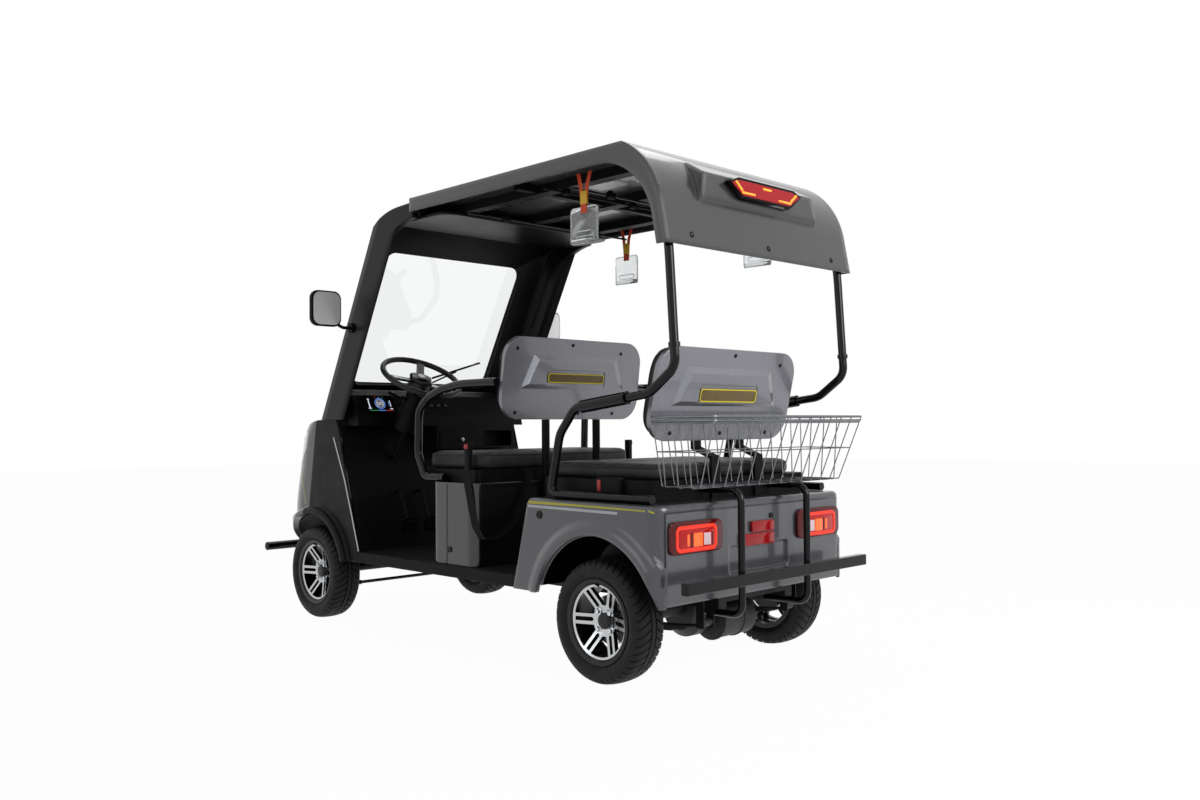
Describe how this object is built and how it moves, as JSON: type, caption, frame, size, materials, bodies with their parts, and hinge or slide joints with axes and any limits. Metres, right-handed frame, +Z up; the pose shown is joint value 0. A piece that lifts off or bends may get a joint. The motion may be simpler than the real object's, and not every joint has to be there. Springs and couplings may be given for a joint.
{
  "type": "golf cart",
  "caption": "Four-wheel electric cart with two bench seats, a canopy roof, windscreen, wire luggage basket, tube rails and steered front wheels.",
  "frame": {"origin": "middle of the cart's length and width, on the ground under it", "axes": "+X forward along the length, +Y to the cart's left, +Z up"},
  "size_m": [2.6269, 1.4, 1.7899],
  "materials": {
    "tyre_rubber": "satin",
    "alloy": "machined",
    "body_grey": "metallic",
    "seat_vinyl": "grained vinyl",
    "black_steel": "gloss",
    "clear_glass": "clear",
    "chrome_wire": "polished",
    "lamp_plastic": "gloss",
    "roof_grey": "satin",
    "black_plastic": "satin"
  },
  "bodies": {
    "chassis": {"basket": "chrome_wire", "battery": "black_plastic", "belt_buckles": "black_plastic", "bumper_bar": "black_steel", "cross_members": "black_steel", "dashboard": "black_plastic", "floor_pan": "black_plastic", "frame_rails": "black_steel", "front_armrests": "black_steel", "front_axle": "black_steel", "front_backrest": "body_grey", "front_backrest_pad": "seat_vinyl", "front_bumper": "black_steel", "front_cushion": "seat_vinyl", "front_liners": "black_plastic", "front_posts": "black_steel", "front_seat_tray": "black_plastic", "front_springs": "black_steel", "glove_shelf": "black_plastic", "grab_handles": "black_plastic", "headlamps": "lamp_plastic", "headliner": "black_plastic", "mirrors": "black_plastic", "nose_shell": "body_grey", "pedals": "black_plastic", "rear_axle": "black_steel", "rear_backrest": "body_grey", "rear_backrest_pad": "seat_vinyl", "rear_cushion": "seat_vinyl", "rear_deck": "black_plastic", "rear_frame_tubes": "black_steel", "rear_guards": "black_steel", "rear_panel": "body_grey", "rear_posts": "black_steel", "rear_springs": "black_steel", "rear_tub": "body_grey", "roof_beams": "black_steel", "roof_lamp": "lamp_plastic", "roof_shell": "roof_grey", "seat_pedestal": "body_grey", "side_panels": "black_plastic", "steering_column": "black_plastic", "tail_lamps": "lamp_plastic", "toe_board": "black_plastic", "windscreen_frame": "black_plastic", "windscreen_glass": "clear_glass", "wiper": "black_plastic"},
    "wheel_front_left": {"tyre_front_left": "tyre_rubber", "rim_front_left": "alloy"},
    "wheel_front_right": {"tyre_front_right": "tyre_rubber", "rim_front_right": "alloy"},
    "wheel_rear_left": {"tyre_rear_left": "tyre_rubber", "rim_rear_left": "alloy"},
    "wheel_rear_right": {"tyre_rear_right": "tyre_rubber", "rim_rear_right": "alloy"},
    "knuckle_left": {"knuckle_left": "black_steel"},
    "knuckle_right": {"knuckle_right": "black_steel"},
    "tie_rod": {"tie_rod": "black_steel"},
    "steering_wheel": {"steering_wheel": "black_plastic"}
  },
  "joints": [
    {"name": "steer_left", "type": "hinge", "parent": "chassis", "child": "knuckle_left", "pos_m": [0.924, 0.385, 0.205], "axis": [0, 0, 1], "range_deg": [-28, 28]},
    {"name": "steer_right", "type": "hinge", "parent": "chassis", "child": "knuckle_right", "pos_m": [0.924, -0.385, 0.205], "axis": [0, 0, 1], "range_deg": [-28, 28]},
    {"name": "tie_rod_pivot", "type": "hinge", "parent": "knuckle_left", "child": "tie_rod", "pos_m": [0.844, 0.385, 0.147], "axis": [0, 0, 1], "range_deg": [-28, 28]},
    {"name": "steering_turn", "type": "hinge", "parent": "chassis", "child": "steering_wheel", "pos_m": [0.474, 0.24, 1.065], "axis": [-0.5, 0, 0.866], "range_deg": [-336, 336]},
    {"name": "roll_front_left", "type": "hinge", "parent": "knuckle_left", "child": "wheel_front_left", "pos_m": [0.924, 0.448, 0.205], "axis": [0, 1, 0], "continuous": true},
    {"name": "roll_front_right", "type": "hinge", "parent": "knuckle_right", "child": "wheel_front_right", "pos_m": [0.924, -0.448, 0.205], "axis": [0, 1, 0], "continuous": true},
    {"name": "roll_rear_left", "type": "hinge", "parent": "chassis", "child": "wheel_rear_left", "pos_m": [-0.876, 0.448, 0.205], "axis": [0, 1, 0], "continuous": true},
    {"name": "roll_rear_right", "type": "hinge", "parent": "chassis", "child": "wheel_rear_right", "pos_m": [-0.876, -0.448, 0.205], "axis": [0, 1, 0], "continuous": true}
  ],
  "couplings": [
    {"joint": "steer_right", "follows": "steer_left", "ratio": 1},
    {"joint": "tie_rod_pivot", "follows": "steer_left", "ratio": -1},
    {"joint": "steering_turn", "follows": "steer_left", "ratio": 12}
  ]
}
